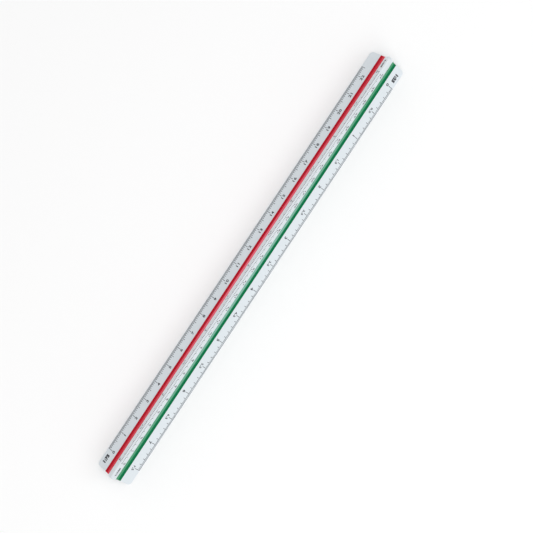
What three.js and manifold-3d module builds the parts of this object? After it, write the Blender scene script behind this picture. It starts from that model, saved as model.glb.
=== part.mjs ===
// A triangular scale ruler: a white plastic bar whose section has three fins, with a concave flute
// between each pair of fins. Two of the flutes hold a coloured strip, which tells the sides apart.
// Millimetres, +Z up. The bar lies along X on its plain side, with the red strip facing +Y and the
// green strip facing -Y. The origin is the middle of the bar's footprint, on the surface it rests on.
import * as THREE from "three";
import { mergeVertices } from "three/addons/utils/BufferGeometryUtils.js";
import Module from "manifold-3d";

// Driving dimensions.
const LENGTH = 325; // end to end, for a scale of 300 with a blank margin at each end
const TRIANGLE_SIDE = 26.2; // side of the sharp triangle that encloses the section
const TIP_WIDTH = 0.8; // the blunt tip of a fin
const LAND_WIDTH = 0.5; // the flat beside each tip, in the plane of its side, that rests on the paper
const FLUTE_WIDTH = 6; // mouth of a flute, along its side
const FLUTE_DEPTH = 2.45; // from a side's plane down to the mouth of its flute
const FLUTE_SAG = 0.7; // from the mouth down to the bottom of the flute's arc
const STRIP_WEB = 0.9; // a coloured strip's thickness at the bottom of its arc
const DOVETAIL = 0.35; // how much wider a strip's back is than its face, on each edge
const STRIP_CLEARANCE = 0.05; // between a strip and its groove
const CORNER_RADIUS = 2.8; // rounding of a fin's corners at both ends
const ARC_STEPS = 10;

// Worked out from them. The section is drawn about its centre, with Y across and Z up.
const APOTHEM = TRIANGLE_SIDE / (2 * Math.sqrt(3)); // from the centre to a side's plane
const TIP_RADIUS = 2 * APOTHEM - TIP_WIDTH * Math.cos(Math.PI / 6); // from the centre to a fin's tip
const SIDE_EDGE = TRIANGLE_SIDE / 2 - TIP_WIDTH; // from a side's middle to the corner of a tip
const THIRD_TURN = (2 * Math.PI) / 3;
const FLUTE_RADIUS = (FLUTE_WIDTH ** 2 / 4 + FLUTE_SAG ** 2) / (2 * FLUTE_SAG);
const FLUTE_HALF_ANGLE = Math.asin(FLUTE_WIDTH / 2 / FLUTE_RADIUS);

// A point of one side, given along the side from its middle and inwards from its plane. Side 0 is
// the underside, side 1 faces +Y and side 2 faces -Y.
function onSide(side, along, inward) {
  const point = new THREE.Vector2(along, inward - APOTHEM);
  return point.rotateAround(new THREE.Vector2(), side * THIRD_TURN);
}

// The arc of a flute, from one edge of its mouth to the other, as points along and inward.
function fluteArc() {
  const points = [];
  for (let i = 0; i <= ARC_STEPS; i++) {
    const angle = FLUTE_HALF_ANGLE * ((2 * i) / ARC_STEPS - 1);
    const along = FLUTE_RADIUS * Math.sin(angle);
    const below = FLUTE_RADIUS * (Math.cos(angle) - Math.cos(FLUTE_HALF_ANGLE));
    points.push([along, FLUTE_DEPTH + below]);
  }
  return points;
}

// The dovetailed groove that holds a strip, from one edge of its mouth to the other.
function stripGroove() {
  const mouth = FLUTE_WIDTH / 2 + STRIP_CLEARANCE;
  const floor = FLUTE_DEPTH + FLUTE_SAG + STRIP_WEB + STRIP_CLEARANCE;
  return [
    [-mouth, FLUTE_DEPTH],
    [-mouth - DOVETAIL, floor],
    [mouth + DOVETAIL, floor],
    [mouth, FLUTE_DEPTH],
  ];
}

// One side of the bar's section, from tip to tip, with the outline of its flute in the middle.
function sideOutline(side, flute) {
  const outline = [
    [-SIDE_EDGE, 0],
    [-SIDE_EDGE + LAND_WIDTH, 0],
    ...flute,
    [SIDE_EDGE - LAND_WIDTH, 0],
    [SIDE_EDGE, 0],
  ];
  return outline.map(([along, inward]) => onSide(side, along, inward));
}

// A solid of the given section, as long as the bar, centred on it.
function alongBar(points) {
  const options = { depth: LENGTH, bevelEnabled: false, steps: 1 };
  const geometry = new THREE.ExtrudeGeometry(new THREE.Shape(points), options);
  return geometry.translate(0, 0, -LENGTH / 2);
}

// What is cut off one corner of the upright fin: the square corner outside its rounding.
function cornerCutter() {
  const margin = 2;
  const end = LENGTH / 2;
  const shape = new THREE.Shape();
  shape.moveTo(end, TIP_RADIUS - CORNER_RADIUS);
  shape.absarc(end - CORNER_RADIUS, TIP_RADIUS - CORNER_RADIUS, CORNER_RADIUS, 0, Math.PI / 2);
  shape.lineTo(end - CORNER_RADIUS, TIP_RADIUS + margin);
  shape.lineTo(end + margin, TIP_RADIUS + margin);
  shape.lineTo(end + margin, TIP_RADIUS - CORNER_RADIUS);
  const width = TRIANGLE_SIDE / 2;
  const options = { depth: width, bevelEnabled: false, curveSegments: ARC_STEPS };
  const geometry = new THREE.ExtrudeGeometry(shape, options);
  return geometry.translate(0, 0, -width / 2).rotateY(-Math.PI / 2);
}

const wasm = await Module();
wasm.setup();

function toSolid(geometry) {
  const bare = geometry.clone().deleteAttribute("normal").deleteAttribute("uv");
  const merged = mergeVertices(bare, 1e-4);
  return new wasm.Manifold(
    new wasm.Mesh({
      numProp: 3,
      vertProperties: merged.attributes.position.array,
      triVerts: new Uint32Array(merged.index.array),
    }),
  );
}

function toGeometry(solid) {
  const mesh = solid.getMesh();
  const geometry = new THREE.BufferGeometry();
  geometry.setAttribute("position", new THREE.BufferAttribute(mesh.vertProperties, 3));
  geometry.setIndex(new THREE.BufferAttribute(mesh.triVerts, 1));
  geometry.computeVertexNormals();
  return geometry;
}

// The white bar, with the corners of its three fins rounded at both ends.
function bodyGeometry() {
  const outline = [
    ...sideOutline(0, fluteArc()),
    ...sideOutline(1, stripGroove()),
    ...sideOutline(2, stripGroove()),
  ];
  let solid = toSolid(alongBar(outline));
  for (let fin = 0; fin < 3; fin++) {
    for (const turn of [0, Math.PI]) {
      const cutter = cornerCutter().rotateY(turn).rotateZ(fin * THIRD_TURN);
      solid = solid.subtract(toSolid(cutter));
    }
  }
  return toGeometry(solid);
}

// A coloured strip: a concave face level with the mouth of its flute, and a wider flat back.
function stripGeometry(side) {
  const back = FLUTE_DEPTH + FLUTE_SAG + STRIP_WEB;
  const wide = FLUTE_WIDTH / 2 + DOVETAIL;
  const outline = [[-wide, back], ...fluteArc(), [wide, back]];
  return alongBar(outline.map(([along, inward]) => onSide(side, along, inward)));
}

function plastic(color, roughness) {
  return new THREE.MeshStandardMaterial({ color, roughness, metalness: 0 });
}

function part(name, geometry, material) {
  const mesh = new THREE.Mesh(geometry, material);
  mesh.name = name;
  return mesh;
}

// The section's X, Y and Z become the ruler's Y, Z and X.
const ruler = new THREE.Group();
const section = new THREE.Group();
const across = new THREE.Vector3(0, 1, 0);
const up = new THREE.Vector3(0, 0, 1);
const lengthwise = new THREE.Vector3(1, 0, 0);
section.setRotationFromMatrix(new THREE.Matrix4().makeBasis(across, up, lengthwise));
section.position.z = APOTHEM;
section.add(part("white_bar", bodyGeometry(), plastic(0xdfe5e8, 0.35)));
section.add(part("red_flute_strip", stripGeometry(1), plastic(0xb2243a, 0.25)));
section.add(part("green_flute_strip", stripGeometry(2), plastic(0x04764a, 0.25)));
ruler.add(section);

export default ruler;
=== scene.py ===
# A triangular scale ruler that lies along X on a pale floor, seen from straight above. Its bar, its two
# coloured strips and the scale printed along each of its six edges are made here as fine meshes, in
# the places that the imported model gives. Lengths are in millimetres until a mesh or object is made.
import math
from collections import namedtuple

import bmesh
import bpy
from mathutils import Matrix, Vector


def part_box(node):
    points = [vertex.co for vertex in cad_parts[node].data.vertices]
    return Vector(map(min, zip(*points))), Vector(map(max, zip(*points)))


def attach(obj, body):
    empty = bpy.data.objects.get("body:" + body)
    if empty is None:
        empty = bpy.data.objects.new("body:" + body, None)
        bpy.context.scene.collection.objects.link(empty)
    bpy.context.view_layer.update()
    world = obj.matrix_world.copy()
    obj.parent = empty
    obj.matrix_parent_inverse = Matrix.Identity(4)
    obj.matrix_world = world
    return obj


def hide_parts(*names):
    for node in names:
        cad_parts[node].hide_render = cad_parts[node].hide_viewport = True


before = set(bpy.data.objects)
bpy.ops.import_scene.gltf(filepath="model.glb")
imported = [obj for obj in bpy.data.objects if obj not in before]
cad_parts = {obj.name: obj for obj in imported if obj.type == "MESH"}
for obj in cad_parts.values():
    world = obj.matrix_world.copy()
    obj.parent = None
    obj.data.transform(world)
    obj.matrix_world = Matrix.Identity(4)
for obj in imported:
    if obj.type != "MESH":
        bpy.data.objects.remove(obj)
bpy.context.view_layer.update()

MM = 0.001  # a millimetre, in Blender's metres
METRE = 1000  # a metre, in millimetres
BODY = "root"
bar_low, bar_high = (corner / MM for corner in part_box("white_bar"))

# The section, with the sizes that the CAD model has.
LENGTH = bar_high.x - bar_low.x
TIP_WIDTH = 0.8  # the blunt tip of a fin
TRIANGLE_SIDE = bar_high.y - bar_low.y + TIP_WIDTH  # of the sharp triangle around the section
LAND_WIDTH = 0.5  # the flat beside each tip, in the plane of its side
FLUTE_WIDTH = 6  # mouth of a flute, along its side
FLUTE_DEPTH = 2.45  # from a side's plane down to the mouth of its flute
FLUTE_SAG = 0.7  # from the mouth down to the bottom of the flute's arc
STRIP_WEB = 0.9  # a coloured strip's thickness at the bottom of its arc
DOVETAIL = 0.35  # how much wider a strip's back is than its face, on each edge
STRIP_CLEARANCE = 0.05  # between a strip and its groove
CORNER_RADIUS = 2.8  # rounding of a fin's corners at both ends

# Fine detail that the CAD model leaves out.
TIP_ROUNDING = 0.06  # of a tip's two corners
CREASE_ROUNDING = 0.06  # between a land and the face that slopes down from it
LIP_ROUNDING = 0.08  # of the edges of a flute, a groove and a strip
FLAT_POINT = 1.5  # where the flat beside a rounding gets its own point, in sizes of the rounding
CORNER_ROOM = 0.25  # kept between a tip's corner and the one beside it, where a fin is cut low
END_BEVEL = 0.16  # how far the section draws in at both ends
ROUNDING_STEPS = 4
FLUTE_STEPS = 24
END_STEPS = 12
BEVEL_STEPS = 4
SPAN = 20  # from one ring of points to the next, along the straight part of the bar

# Worked out from them.
THIRD_TURN = 2 * math.pi / 3
HALF_LENGTH = LENGTH / 2
APOTHEM = TRIANGLE_SIDE / (2 * math.sqrt(3))  # from the section's centre to a side's plane
SIDE_EDGE = TRIANGLE_SIDE / 2 - TIP_WIDTH  # from a side's middle to the corner of a tip
FACE_SLOPE = math.atan2(FLUTE_DEPTH, SIDE_EDGE - LAND_WIDTH - FLUTE_WIDTH / 2)
FIN_HALF_ANGLE = math.pi / 6  # from the middle plane of a fin to the plane of either side
FLUTE_RADIUS = (FLUTE_WIDTH**2 / 4 + FLUTE_SAG**2) / (2 * FLUTE_SAG)
FLUTE_HALF_ANGLE = math.asin(FLUTE_WIDTH / 2 / FLUTE_RADIUS)

# The print. Tops and starts are distances from the tip's corner, over the land and down the face.
INK_PROUD = 0.015  # how far the ink stands above the plastic
INK_SUNK = 0.02  # how far it goes down into the plastic
MARK_START = 0.1
MARK_WIDTH = 0.32
FIGURE_TOP = 5.45
FIGURE_HEIGHT = 2.1
DECIMAL_HEIGHT = 1.65  # of a figure that has a decimal
FIGURE_STRETCH = 1.2  # how much wider a figure is than the font makes it
FIGURE_BOLDNESS = 0.03  # added all round its strokes, in font sizes
RATIO_TOP = 2.7
RATIO_HEIGHT = 2.55
RATIO_WIDTH = 5.8
RATIO_DISTANCE = 6.25  # from a scale's 0 mark to the middle of its ratio
RATIO_BOLDNESS = 0.08
LETTER_SPACING = 1.12
LETTER_STEPS = 4
FONT_HEIGHT = 0.7  # of a figure, in font sizes

# The plastics, in linear colours. A strip turns from its plain colour to a paler one towards its upper
# edge, a painted reflection. It is one colour at the ruler's ends and another at its middle, where a
# painted highlight makes it palest.
WHITE = (0.706, 0.757, 0.795)
StripColors = namedtuple("StripColors", "plain pale_at_ends pale_at_middle")
RED = StripColors((0.48, 0.004, 0.018), (0.66, 0.004, 0.03), (0.9, 0.115, 0.18))
GREEN = StripColors((0.0, 0.155, 0.055), (0.045, 0.3, 0.14), (0.2, 0.46, 0.36))
PAINTED_REFLECTION_FROM = 8.8  # the height at which the painted reflection starts to pale a strip's plain colour
PAINTED_REFLECTION_FULL = 9.8  # and the height from which the painted reflection is full

# The sky. A strength of 1 makes a white card nearly white. A height is the sine of an elevation.
SKY_TOP = 0.96
SKY_LOW = 0.68
SKY_AT_ENDS = 0.6  # share of it that is left in the directions of the ruler's ends
SKY_TOP_FROM = 0.4  # height
HAZE = 0.8  # strength along the horizon, where it matches the lit floor
HAZE_TO = 0.08  # height

# The softbox and the floor, in watts, metres and degrees.
SOFTBOX_POWER = 4.6
SOFTBOX_ELEVATION = 55
SOFTBOX_DISTANCE = 1.2
SOFTBOX_SIZE = (1.6, 0.7)
FLOOR_SIZE = 80

# The camera, in millimetres and degrees. Its shift is a share of the picture's width.
CAMERA_PLACE = (-5, -16, 950)
CAMERA_TURN = -56.438
CAMERA_LENS = 97.75
CAMERA_SENSOR = 36
CAMERA_SHIFT = (-0.0008, 0.0405)


# --- The section -------------------------------------------------------------------------------


def on_side(side, along, inward):
    """A point of one side, given along it from its middle and inwards from its plane, as Y and Z.
    Side 0 is the underside, side 1 faces +Y and side 2 faces -Y."""
    turn = Matrix.Rotation(side * THIRD_TURN, 2)
    return turn @ Vector((along, inward - APOTHEM)) + Vector((0, APOTHEM))


def down_the_side(distance):
    """The point of a side at a distance from the tip's corner, over the land and down the face, as
    its places along the side and inwards."""
    on_land = min(distance, LAND_WIDTH)
    on_face = distance - on_land
    along = SIDE_EDGE - on_land - on_face * math.cos(FACE_SLOPE)
    return along, on_face * math.sin(FACE_SLOPE)


def distance_down(drop):
    """The distance from the tip's corner, over the land and down the face, at which a fin is lower
    than its tip by the drop."""
    land_drop = LAND_WIDTH * math.cos(FIN_HALF_ANGLE)
    if drop <= land_drop:
        return drop / math.cos(FIN_HALF_ANGLE)
    return LAND_WIDTH + (drop - land_drop) / math.cos(FIN_HALF_ANGLE - FACE_SLOPE)


def fin_corners(side, drop):
    """The four corners of the fin between one side and the next, cut off lower than its tip by the
    drop: the end of a land, the tip's two corners, and the end of the other land."""
    cut = distance_down(drop)
    tip = down_the_side(cut)
    land = down_the_side(max(LAND_WIDTH, cut + CORNER_ROOM))
    near = [on_side(side, *land), on_side(side, *tip)]
    far = [on_side(side + 1, -tip[0], tip[1]), on_side(side + 1, -land[0], land[1])]
    return near + far


def flute_arc(side):
    """The arc of a flute, from one edge of its mouth to the other."""
    points = []
    for step in range(FLUTE_STEPS + 1):
        angle = FLUTE_HALF_ANGLE * (2 * step / FLUTE_STEPS - 1)
        below = FLUTE_RADIUS * (math.cos(angle) - math.cos(FLUTE_HALF_ANGLE))
        points.append(on_side(side, FLUTE_RADIUS * math.sin(angle), FLUTE_DEPTH + below))
    return points


def softened(before, corner, after, size):
    """A small rounding in place of a corner, with one more point on the flat at each end of it."""
    back = (before - corner).normalized()
    ahead = (after - corner).normalized()
    points = [corner + back * size * FLAT_POINT]
    for step in range(ROUNDING_STEPS + 1):
        t = step / ROUNDING_STEPS
        points.append(corner + back * size * (1 - t) ** 2 + ahead * size * t**2)
    points.append(corner + ahead * size * FLAT_POINT)
    return points


def softened_loop(corners):
    """A closed outline from (point, rounding) pairs, where a rounding of 0 keeps the point."""
    outline = []
    for i, (point, size) in enumerate(corners):
        before = corners[i - 1][0]
        after = corners[(i + 1) % len(corners)][0]
        outline += softened(before, point, after, size) if size else [point]
    return outline


def lipped_arc(side):
    """The arc of a flute as (point, rounding) pairs, with its two edges rounded."""
    first, *between, last = flute_arc(side)
    return [(first, LIP_ROUNDING), *((point, 0) for point in between), (last, LIP_ROUNDING)]


def strip_groove(side):
    """The dovetailed groove that a strip lies in, a little larger than the strip, as (point,
    rounding) pairs."""
    mouth = FLUTE_WIDTH / 2 + STRIP_CLEARANCE
    wide = mouth + DOVETAIL
    floor = FLUTE_DEPTH + FLUTE_SAG + STRIP_WEB + STRIP_CLEARANCE
    corners = ((-mouth, FLUTE_DEPTH), (-wide, floor), (wide, floor), (mouth, FLUTE_DEPTH))
    return [(on_side(side, *corner), LIP_ROUNDING) for corner in corners]


def bar_outline(drop):
    """The bar's section, with its fins cut off lower than their tips by the drop."""
    roundings = (CREASE_ROUNDING, TIP_ROUNDING, TIP_ROUNDING, CREASE_ROUNDING)
    corners = []
    for side, flute in enumerate((lipped_arc(0), strip_groove(1), strip_groove(2))):
        corners += [*flute, *zip(fin_corners(side, drop), roundings)]
    return softened_loop(corners)


def strip_outline(side):
    """A strip's section: its concave face, its two edges and its flat back."""
    back = FLUTE_DEPTH + FLUTE_SAG + STRIP_WEB
    wide = FLUTE_WIDTH / 2 + DOVETAIL
    first, last = ((on_side(side, edge, back), LIP_ROUNDING) for edge in (-wide, wide))
    return softened_loop([first, *lipped_arc(side), last])


# --- Sweeping a section along the bar ----------------------------------------------------------


def drawn_in(outline, distance):
    """The outline scaled about its middle, so that its farthest point moves in by the distance. A
    scaled outline keeps its shape, so it never crosses itself."""
    middle = sum(outline, Vector((0, 0))) / len(outline)
    reach = max((point - middle).length for point in outline)
    return [middle + (point - middle) * (1 - distance / reach) for point in outline]


def round_drop(radius, distance):
    """How far a round corner of this radius has dropped, at a distance from the end."""
    left = max(radius - distance, 0)
    return radius - math.sqrt(radius**2 - left**2)


def quarter_round(radius, steps):
    """Distances from the end, at equal angles round a corner of this radius."""
    return [radius * (1 - math.sin(math.pi / 2 * i / steps)) for i in range(steps)]


def distances_from_end():
    """Where along the bar its section is drawn, as distances from an end, up to the middle."""
    straight = HALF_LENGTH - CORNER_RADIUS
    count = round(straight / SPAN)
    spans = [CORNER_RADIUS + straight * i / count for i in range(1, count + 1)]
    corner = quarter_round(CORNER_RADIUS, END_STEPS)
    bevel = quarter_round(END_BEVEL, BEVEL_STEPS)
    return sorted({0.0, *bevel, *corner, *spans})


def swept_rings(outline_at):
    """Rings of points along the bar, from one end to the other. outline_at gives the section at a
    distance from the end."""
    near = [(distance - HALF_LENGTH, distance) for distance in distances_from_end()]
    far = [(-x, distance) for x, distance in reversed(near[:-1])]
    rings = []
    for x, distance in near + far:
        outline = drawn_in(outline_at(distance), round_drop(END_BEVEL, distance))
        rings.append([(x, point.x, point.y) for point in outline])
    return rings


def ring_faces(ring_count, size):
    """The faces between rings of points that follow one another, and a cap on the first and last."""
    faces = []
    for ring in range(ring_count - 1):
        for i in range(size):
            j = (i + 1) % size
            low, high = ring * size, (ring + 1) * size
            faces.append((low + i, low + j, high + j, high + i))
    last = (ring_count - 1) * size
    return faces + [tuple(reversed(range(size))), tuple(range(last, last + size))]


def new_object(name, data):
    """A new object in the scene, for a mesh, a light or a camera."""
    item = bpy.data.objects.new(name, data)
    bpy.context.scene.collection.objects.link(item)
    return item


def add_piece(name, points, faces, material, smooth):
    """A mesh from points in millimetres, with its faces turned outwards, that rides on the ruler.
    Where it is smooth, its end caps stay flat."""
    mesh = bpy.data.meshes.new(name)
    mesh.from_pydata([Vector(point) * MM for point in points], [], faces)
    work = bmesh.new()
    work.from_mesh(mesh)
    bmesh.ops.recalc_face_normals(work, faces=work.faces)
    work.to_mesh(mesh)
    work.free()
    for face in mesh.polygons:
        face.use_smooth = smooth and len(face.vertices) == 4
    mesh.materials.append(material)
    piece = new_object(name, mesh)
    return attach(piece, BODY)


def swept_piece(name, outline_at, material):
    rings = swept_rings(outline_at)
    points = [point for ring in rings for point in ring]
    return add_piece(name, points, ring_faces(len(rings), len(rings[0])), material, smooth=True)


# --- The printed scales ------------------------------------------------------------------------

# A scale is named by its ratio, 1 to so many. It lies on one side, along the edge at the -along or
# +along end of it. zero is where its 0 mark stands, in X. reach is its last value and fine its
# smallest step, both in metres. marks gives the length of a mark for each so many fine steps, and
# figures the step between its figures, in metres.
Scale = namedtuple("Scale", "ratio side edge zero reach fine marks figures")

SCALES = [
    Scale(75, 1, -1, -149.6, 22.5, 0.05, {1: 2.0, 2: 2.9, 10: 3.9, 20: 5.0}, 1),
    Scale(20, 1, 1, 150.6, 6, 0.02, {1: 2.0, 5: 3.5, 25: 4.9}, 0.5),
    Scale(100, 2, -1, -150.4, 30, 0.1, {1: 2.0, 5: 3.5, 10: 4.9}, 1),
    Scale(25, 2, 1, 149.1, 7.5, 0.02, {1: 2.0, 5: 3.5, 25: 4.9}, 0.5),
    Scale(50, 0, -1, -150.0, 15, 0.05, {1: 2.0, 2: 2.9, 10: 3.9, 20: 4.9}, 1),
    Scale(125, 0, 1, 150.0, 37.5, 0.1, {1: 2.0, 5: 3.5, 10: 4.9}, 1),
]

Letters = namedtuple("Letters", "points faces")


def rightwards(scale):
    """The sign of X to the right of the print, as it is read with the fin's tip at the top."""
    return -scale.edge


def tilt_at(distance):
    """The plastic's tilt from its side's plane, at a distance from the tip's corner. On the crease
    between the land and the face it is halfway."""
    if distance == LAND_WIDTH:
        return FACE_SLOPE / 2
    return FACE_SLOPE if distance > LAND_WIDTH else 0


def print_point(scale, x, distance, lift):
    """A point of the print: at x along the bar, a distance from the tip's corner down the fin, and
    lifted off the plastic."""
    along, inward = down_the_side(distance)
    tilt = tilt_at(distance)
    along += lift * math.sin(tilt)
    inward -= lift * math.cos(tilt)
    return (x, *on_side(scale.side, scale.edge * along, inward))


def add_faces(new_faces, first, faces):
    """Faces whose points are counted from the point numbered first."""
    faces.extend(tuple(first + n for n in face) for face in new_faces)


def mark_length(scale, count):
    """The longest mark that is due so many fine steps from zero."""
    return max(length for step, length in scale.marks.items() if count % step == 0)


def add_mark(scale, x, length, points, faces):
    """One mark: a thin closed bar that bends with the plastic where the land meets the face."""
    first = len(points)
    left, right = x - MARK_WIDTH / 2, x + MARK_WIDTH / 2
    ring = ((left, -INK_SUNK), (left, INK_PROUD), (right, INK_PROUD), (right, -INK_SUNK))
    distances = (MARK_START, LAND_WIDTH, length)
    for distance in distances:
        points.extend(print_point(scale, across, distance, lift) for across, lift in ring)
    add_faces(ring_faces(len(distances), len(ring)), first, faces)


def lettering(text, boldness):
    """The closed solids of a short text of size 1, centred on X, from Y 0 up, and 2 thick."""
    curve = bpy.data.curves.new("lettering", "FONT")
    curve.body = text
    curve.align_x = "CENTER"
    curve.extrude = 1
    curve.offset = boldness
    curve.space_character = LETTER_SPACING
    curve.resolution_u = LETTER_STEPS
    holder = bpy.data.objects.new("lettering", curve)
    mesh = holder.to_mesh()
    work = bmesh.new()
    work.from_mesh(mesh)
    bmesh.ops.remove_doubles(work, verts=work.verts, dist=1e-4)
    points = [vertex.co.copy() for vertex in work.verts]
    faces = [tuple(vertex.index for vertex in face.verts) for face in work.faces]
    work.free()
    bpy.data.objects.remove(holder)
    bpy.data.curves.remove(curve)
    return Letters(points, faces)


def add_text(scale, letters, x, top, height, stretch, points, faces):
    """Lettering on a fin's face, upright towards the fin's tip, centred on x and with its top at a
    distance from the tip's corner."""
    first = len(points)
    size = height / FONT_HEIGHT
    across = rightwards(scale) * size * stretch
    for point in letters.points:
        lift = INK_PROUD if point.z > 0 else -INK_SUNK
        distance = top + height - point.y * size
        points.append(print_point(scale, x + point.x * across, distance, lift))
    add_faces(letters.faces, first, faces)


def add_figure(scale, value, x, points, faces):
    """The figure below a mark. One with a decimal is smaller."""
    letters = lettering(f"{value:g}".replace(".", ","), FIGURE_BOLDNESS)
    height = FIGURE_HEIGHT if value == int(value) else DECIMAL_HEIGHT
    add_text(scale, letters, x, FIGURE_TOP, height, FIGURE_STRETCH, points, faces)


def add_ratio(scale, x, points, faces):
    """The scale's ratio, bold, and as wide as any other."""
    letters = lettering(f"1:{scale.ratio}", RATIO_BOLDNESS)
    across = [point.x for point in letters.points]
    width = (max(across) - min(across)) * RATIO_HEIGHT / FONT_HEIGHT
    stretch = RATIO_WIDTH / width
    middle = (max(across) + min(across)) / 2
    for point in letters.points:
        point.x -= middle
    add_text(scale, letters, x, RATIO_TOP, RATIO_HEIGHT, stretch, points, faces)


def print_scale(scale, ink):
    """All the marks, figures and the ratio of one scale, as one piece."""
    points, faces = [], []
    metre = rightwards(scale) * METRE / scale.ratio
    for count in range(round(scale.reach / scale.fine) + 1):
        x = scale.zero + count * scale.fine * metre
        add_mark(scale, x, mark_length(scale, count), points, faces)
    for count in range(math.floor(scale.reach / scale.figures) + 1):
        value = count * scale.figures
        add_figure(scale, value, scale.zero + value * metre, points, faces)
    add_ratio(scale, scale.zero - rightwards(scale) * RATIO_DISTANCE, points, faces)
    piece = add_piece(f"scale_print_1_{scale.ratio}", points, faces, ink, smooth=False)


# --- Nodes -------------------------------------------------------------------------------------


def feed(tree, socket, value):
    """Gives a node's input its value: another node's output, a colour or a number."""
    if isinstance(value, bpy.types.NodeSocket):
        tree.links.new(value, socket)
    elif isinstance(value, tuple):
        socket.default_value = (*value, 1)
    else:
        socket.default_value = value


def math_node(tree, operation, *values):
    node = tree.nodes.new("ShaderNodeMath")
    node.operation = operation
    for socket, value in zip(node.inputs, values):
        feed(tree, socket, value)
    return node.outputs["Value"]


def mixed(tree, kind, share, low, high):
    """What lies the share of the way from low to high. The kind is FLOAT or RGBA."""
    mix = tree.nodes.new("ShaderNodeMix")
    mix.data_type = kind
    feed(tree, mix.inputs["Factor"], share)
    feed(tree, mix.inputs["A"], low)
    feed(tree, mix.inputs["B"], high)
    return mix.outputs["Result"]


def share_of(tree, value, start, end):
    """0 where the value is at start and 1 where it is at end, with a smooth step between them."""
    spread = tree.nodes.new("ShaderNodeMapRange")
    spread.interpolation_type = "SMOOTHSTEP"
    spread.inputs["From Min"].default_value = start
    spread.inputs["From Max"].default_value = end
    tree.links.new(value, spread.inputs["Value"])
    return spread.outputs["Result"]


def coordinates(tree, space):
    """The X, Y and Z of a point in an object's own space, or of a direction in the sky's."""
    place = tree.nodes.new("ShaderNodeTexCoord")
    parts = tree.nodes.new("ShaderNodeSeparateXYZ")
    tree.links.new(place.outputs[space], parts.inputs["Vector"])
    return parts.outputs


def stretched_noise(tree, scale, stretch, detail):
    """Noise in the object's own space, drawn out along X by the given factor."""
    place = tree.nodes.new("ShaderNodeTexCoord")
    mapping = tree.nodes.new("ShaderNodeMapping")
    mapping.inputs["Scale"].default_value = (1 / stretch, 1, 1)
    noise = tree.nodes.new("ShaderNodeTexNoise")
    noise.inputs["Scale"].default_value = scale
    noise.inputs["Detail"].default_value = detail
    tree.links.new(place.outputs["Object"], mapping.inputs["Vector"])
    tree.links.new(mapping.outputs["Vector"], noise.inputs["Vector"])
    return noise.outputs["Fac"]


# --- Materials ---------------------------------------------------------------------------------


def new_material(name, specular):
    material = bpy.data.materials.new(name)
    material.use_nodes = True
    shader = material.node_tree.nodes["Principled BSDF"]
    shader.inputs["Specular IOR Level"].default_value = specular
    return material, material.node_tree, shader


def varied_color(tree, shader, noise, low, high):
    """Base colour that the noise moves between two close colours."""
    tree.links.new(mixed(tree, "RGBA", noise, low, high), shader.inputs["Base Color"])


def varied_roughness(tree, shader, noise, low, high):
    spread = tree.nodes.new("ShaderNodeMapRange")
    spread.inputs["To Min"].default_value = low
    spread.inputs["To Max"].default_value = high
    tree.links.new(noise, spread.inputs["Value"])
    tree.links.new(spread.outputs["Result"], shader.inputs["Roughness"])


def surface_bump(tree, shader, noise, height):
    bump = tree.nodes.new("ShaderNodeBump")
    bump.inputs["Strength"].default_value = 1
    bump.inputs["Distance"].default_value = height * MM
    tree.links.new(noise, bump.inputs["Height"])
    tree.links.new(bump.outputs["Normal"], shader.inputs["Normal"])


def scaled(color, factor):
    return tuple(channel * factor for channel in color)


def extruded_plastic(name, color, roughness, specular, streak_height):
    """Plastic with faint clouds, and the faint lengthwise streaks that a die leaves."""
    material, tree, shader = new_material(name, specular)
    streaks = stretched_noise(tree, scale=2500, stretch=200, detail=3)
    clouds = stretched_noise(tree, scale=60, stretch=3, detail=4)
    varied_color(tree, shader, clouds, low=scaled(color, 0.975), high=scaled(color, 1.02))
    varied_roughness(tree, shader, clouds, low=roughness - 0.04, high=roughness + 0.04)
    surface_bump(tree, shader, streaks, streak_height)
    return material, tree, shader


def white_plastic():
    material, _, _ = extruded_plastic(
        "white_plastic", WHITE, roughness=0.42, specular=0.4, streak_height=0.003
    )
    return material


def strip_plastic(name, colors):
    """Glossy saturated plastic. Towards the upright fin a painted reflection turns it to a paler
    colour, which a painted highlight makes palest at the middle of the ruler."""
    material, tree, shader = extruded_plastic(
        name, colors.plain, roughness=0.14, specular=0.3, streak_height=0.001
    )
    # Painted reflection: paler base colour towards the strip's upper edge, with a painted highlight at
    # the ruler's middle.
    place = coordinates(tree, "Object")
    up = share_of(tree, place["Z"], PAINTED_REFLECTION_FROM * MM, PAINTED_REFLECTION_FULL * MM)
    from_middle = math_node(tree, "ABSOLUTE", place["X"])
    inwards = share_of(tree, from_middle, HALF_LENGTH * MM, 0)
    pale = mixed(tree, "RGBA", inwards, colors.pale_at_ends, colors.pale_at_middle)
    plain = shader.inputs["Base Color"].links[0].from_socket
    tree.links.new(mixed(tree, "RGBA", up, plain, pale), shader.inputs["Base Color"])
    shader.inputs["Specular Tint"].default_value = (*colors.plain, 1)
    return material


def black_ink():
    material, tree, shader = new_material("black_ink", specular=0.3)
    grain = stretched_noise(tree, scale=4000, stretch=1, detail=3)
    varied_color(tree, shader, grain, low=(0.016, 0.019, 0.027), high=(0.028, 0.032, 0.042))
    varied_roughness(tree, shader, grain, low=0.5, high=0.65)
    return material


def floor_material():
    material, tree, shader = new_material("pale_floor", specular=0.1)
    grain = stretched_noise(tree, scale=900, stretch=1, detail=3)
    varied_color(tree, shader, grain, low=(0.945, 0.945, 0.945), high=(0.955, 0.955, 0.955))
    varied_roughness(tree, shader, grain, low=0.85, high=0.95)
    return material


# --- The stage ---------------------------------------------------------------------------------


def add_floor():
    """A floor that the ink on the underside just touches."""
    half = FLOOR_SIZE / 2
    z = -INK_PROUD * MM
    mesh = bpy.data.meshes.new("floor")
    corners = [(-half, -half, z), (half, -half, z), (half, half, z), (-half, half, z)]
    mesh.from_pydata(corners, [], [(0, 1, 2, 3)])
    mesh.materials.append(floor_material())
    floor = new_object("floor", mesh)


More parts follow.
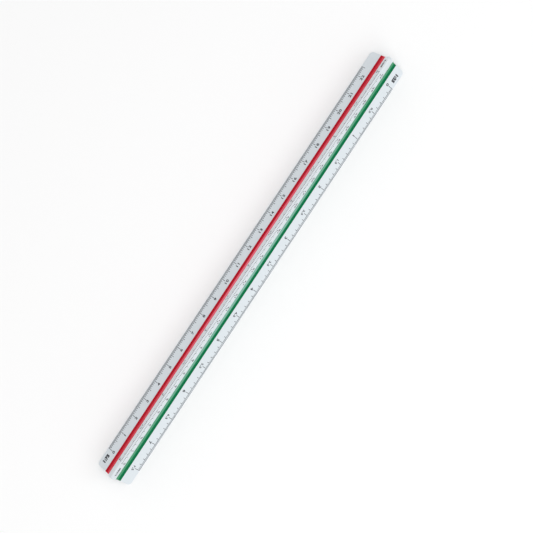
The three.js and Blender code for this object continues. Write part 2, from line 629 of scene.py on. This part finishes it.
def add_softbox():
    """A long soft light on the green side of the ruler, square to it."""
    data = bpy.data.lights.new("softbox", "AREA")
    data.shape = "RECTANGLE"
    data.size, data.size_y = SOFTBOX_SIZE
    data.energy = SOFTBOX_POWER
    light = new_object("softbox", data)
    turn = math.radians(SOFTBOX_ELEVATION)
    light.location = Vector((0, -math.cos(turn), math.sin(turn))) * SOFTBOX_DISTANCE
    light.rotation_euler = (-light.location).to_track_quat("-Z", "Y").to_euler()


def add_sky():
    """An even pale sky that dims towards the horizon, and more so past the ruler's ends. Along the
    horizon itself it is as bright as the floor, so that the floor runs into it without an edge."""
    world = bpy.data.worlds.new("studio")
    world.use_nodes = True
    tree = world.node_tree
    background = tree.nodes["Background"]
    background.inputs["Color"].default_value = (1, 1, 1, 1)
    direction = coordinates(tree, "Generated")
    endwise = math_node(tree, "MULTIPLY", direction["X"], direction["X"])
    dimming = math_node(tree, "MULTIPLY_ADD", endwise, SKY_AT_ENDS - 1, 1)
    upwards = share_of(tree, direction["Z"], 0, SKY_TOP_FROM)
    clear = math_node(tree, "MULTIPLY_ADD", upwards, SKY_TOP - SKY_LOW, SKY_LOW)
    dimmed = math_node(tree, "MULTIPLY", clear, dimming)
    hazy = share_of(tree, direction["Z"], HAZE_TO, 0)
    strength = mixed(tree, "FLOAT", hazy, dimmed, HAZE)
    tree.links.new(strength, background.inputs["Strength"])
    bpy.context.scene.world = world


def add_camera():
    """A camera straight above the ruler, turned so that the ruler runs from low left to high right."""
    data = bpy.data.cameras.new("camera")
    data.sensor_width = CAMERA_SENSOR
    data.lens = CAMERA_LENS
    data.shift_x, data.shift_y = CAMERA_SHIFT
    camera = new_object("camera", data)
    camera.location = [length * MM for length in CAMERA_PLACE]
    camera.rotation_euler = (0, 0, math.radians(CAMERA_TURN))
    bpy.context.scene.camera = camera


# --- Putting it together -----------------------------------------------------------------------


def bar_section(distance):
    return bar_outline(round_drop(CORNER_RADIUS, distance))


def add_bar():
    bar = swept_piece("fluted_bar", bar_section, white_plastic())
    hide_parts("white_bar")


def add_strip(color_name, side, colors):
    outline = strip_outline(side)
    material = strip_plastic(f"{color_name}_plastic", colors)
    strip = swept_piece(f"{color_name}_strip", lambda distance: outline, material)
    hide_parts(f"{color_name}_flute_strip")


add_camera()
add_bar()
add_strip("red", 1, RED)
add_strip("green", 2, GREEN)
ink = black_ink()
for scale in SCALES:
    print_scale(scale, ink)
add_floor()
add_softbox()
add_sky()
bpy.context.scene.view_settings.view_transform = "Standard"
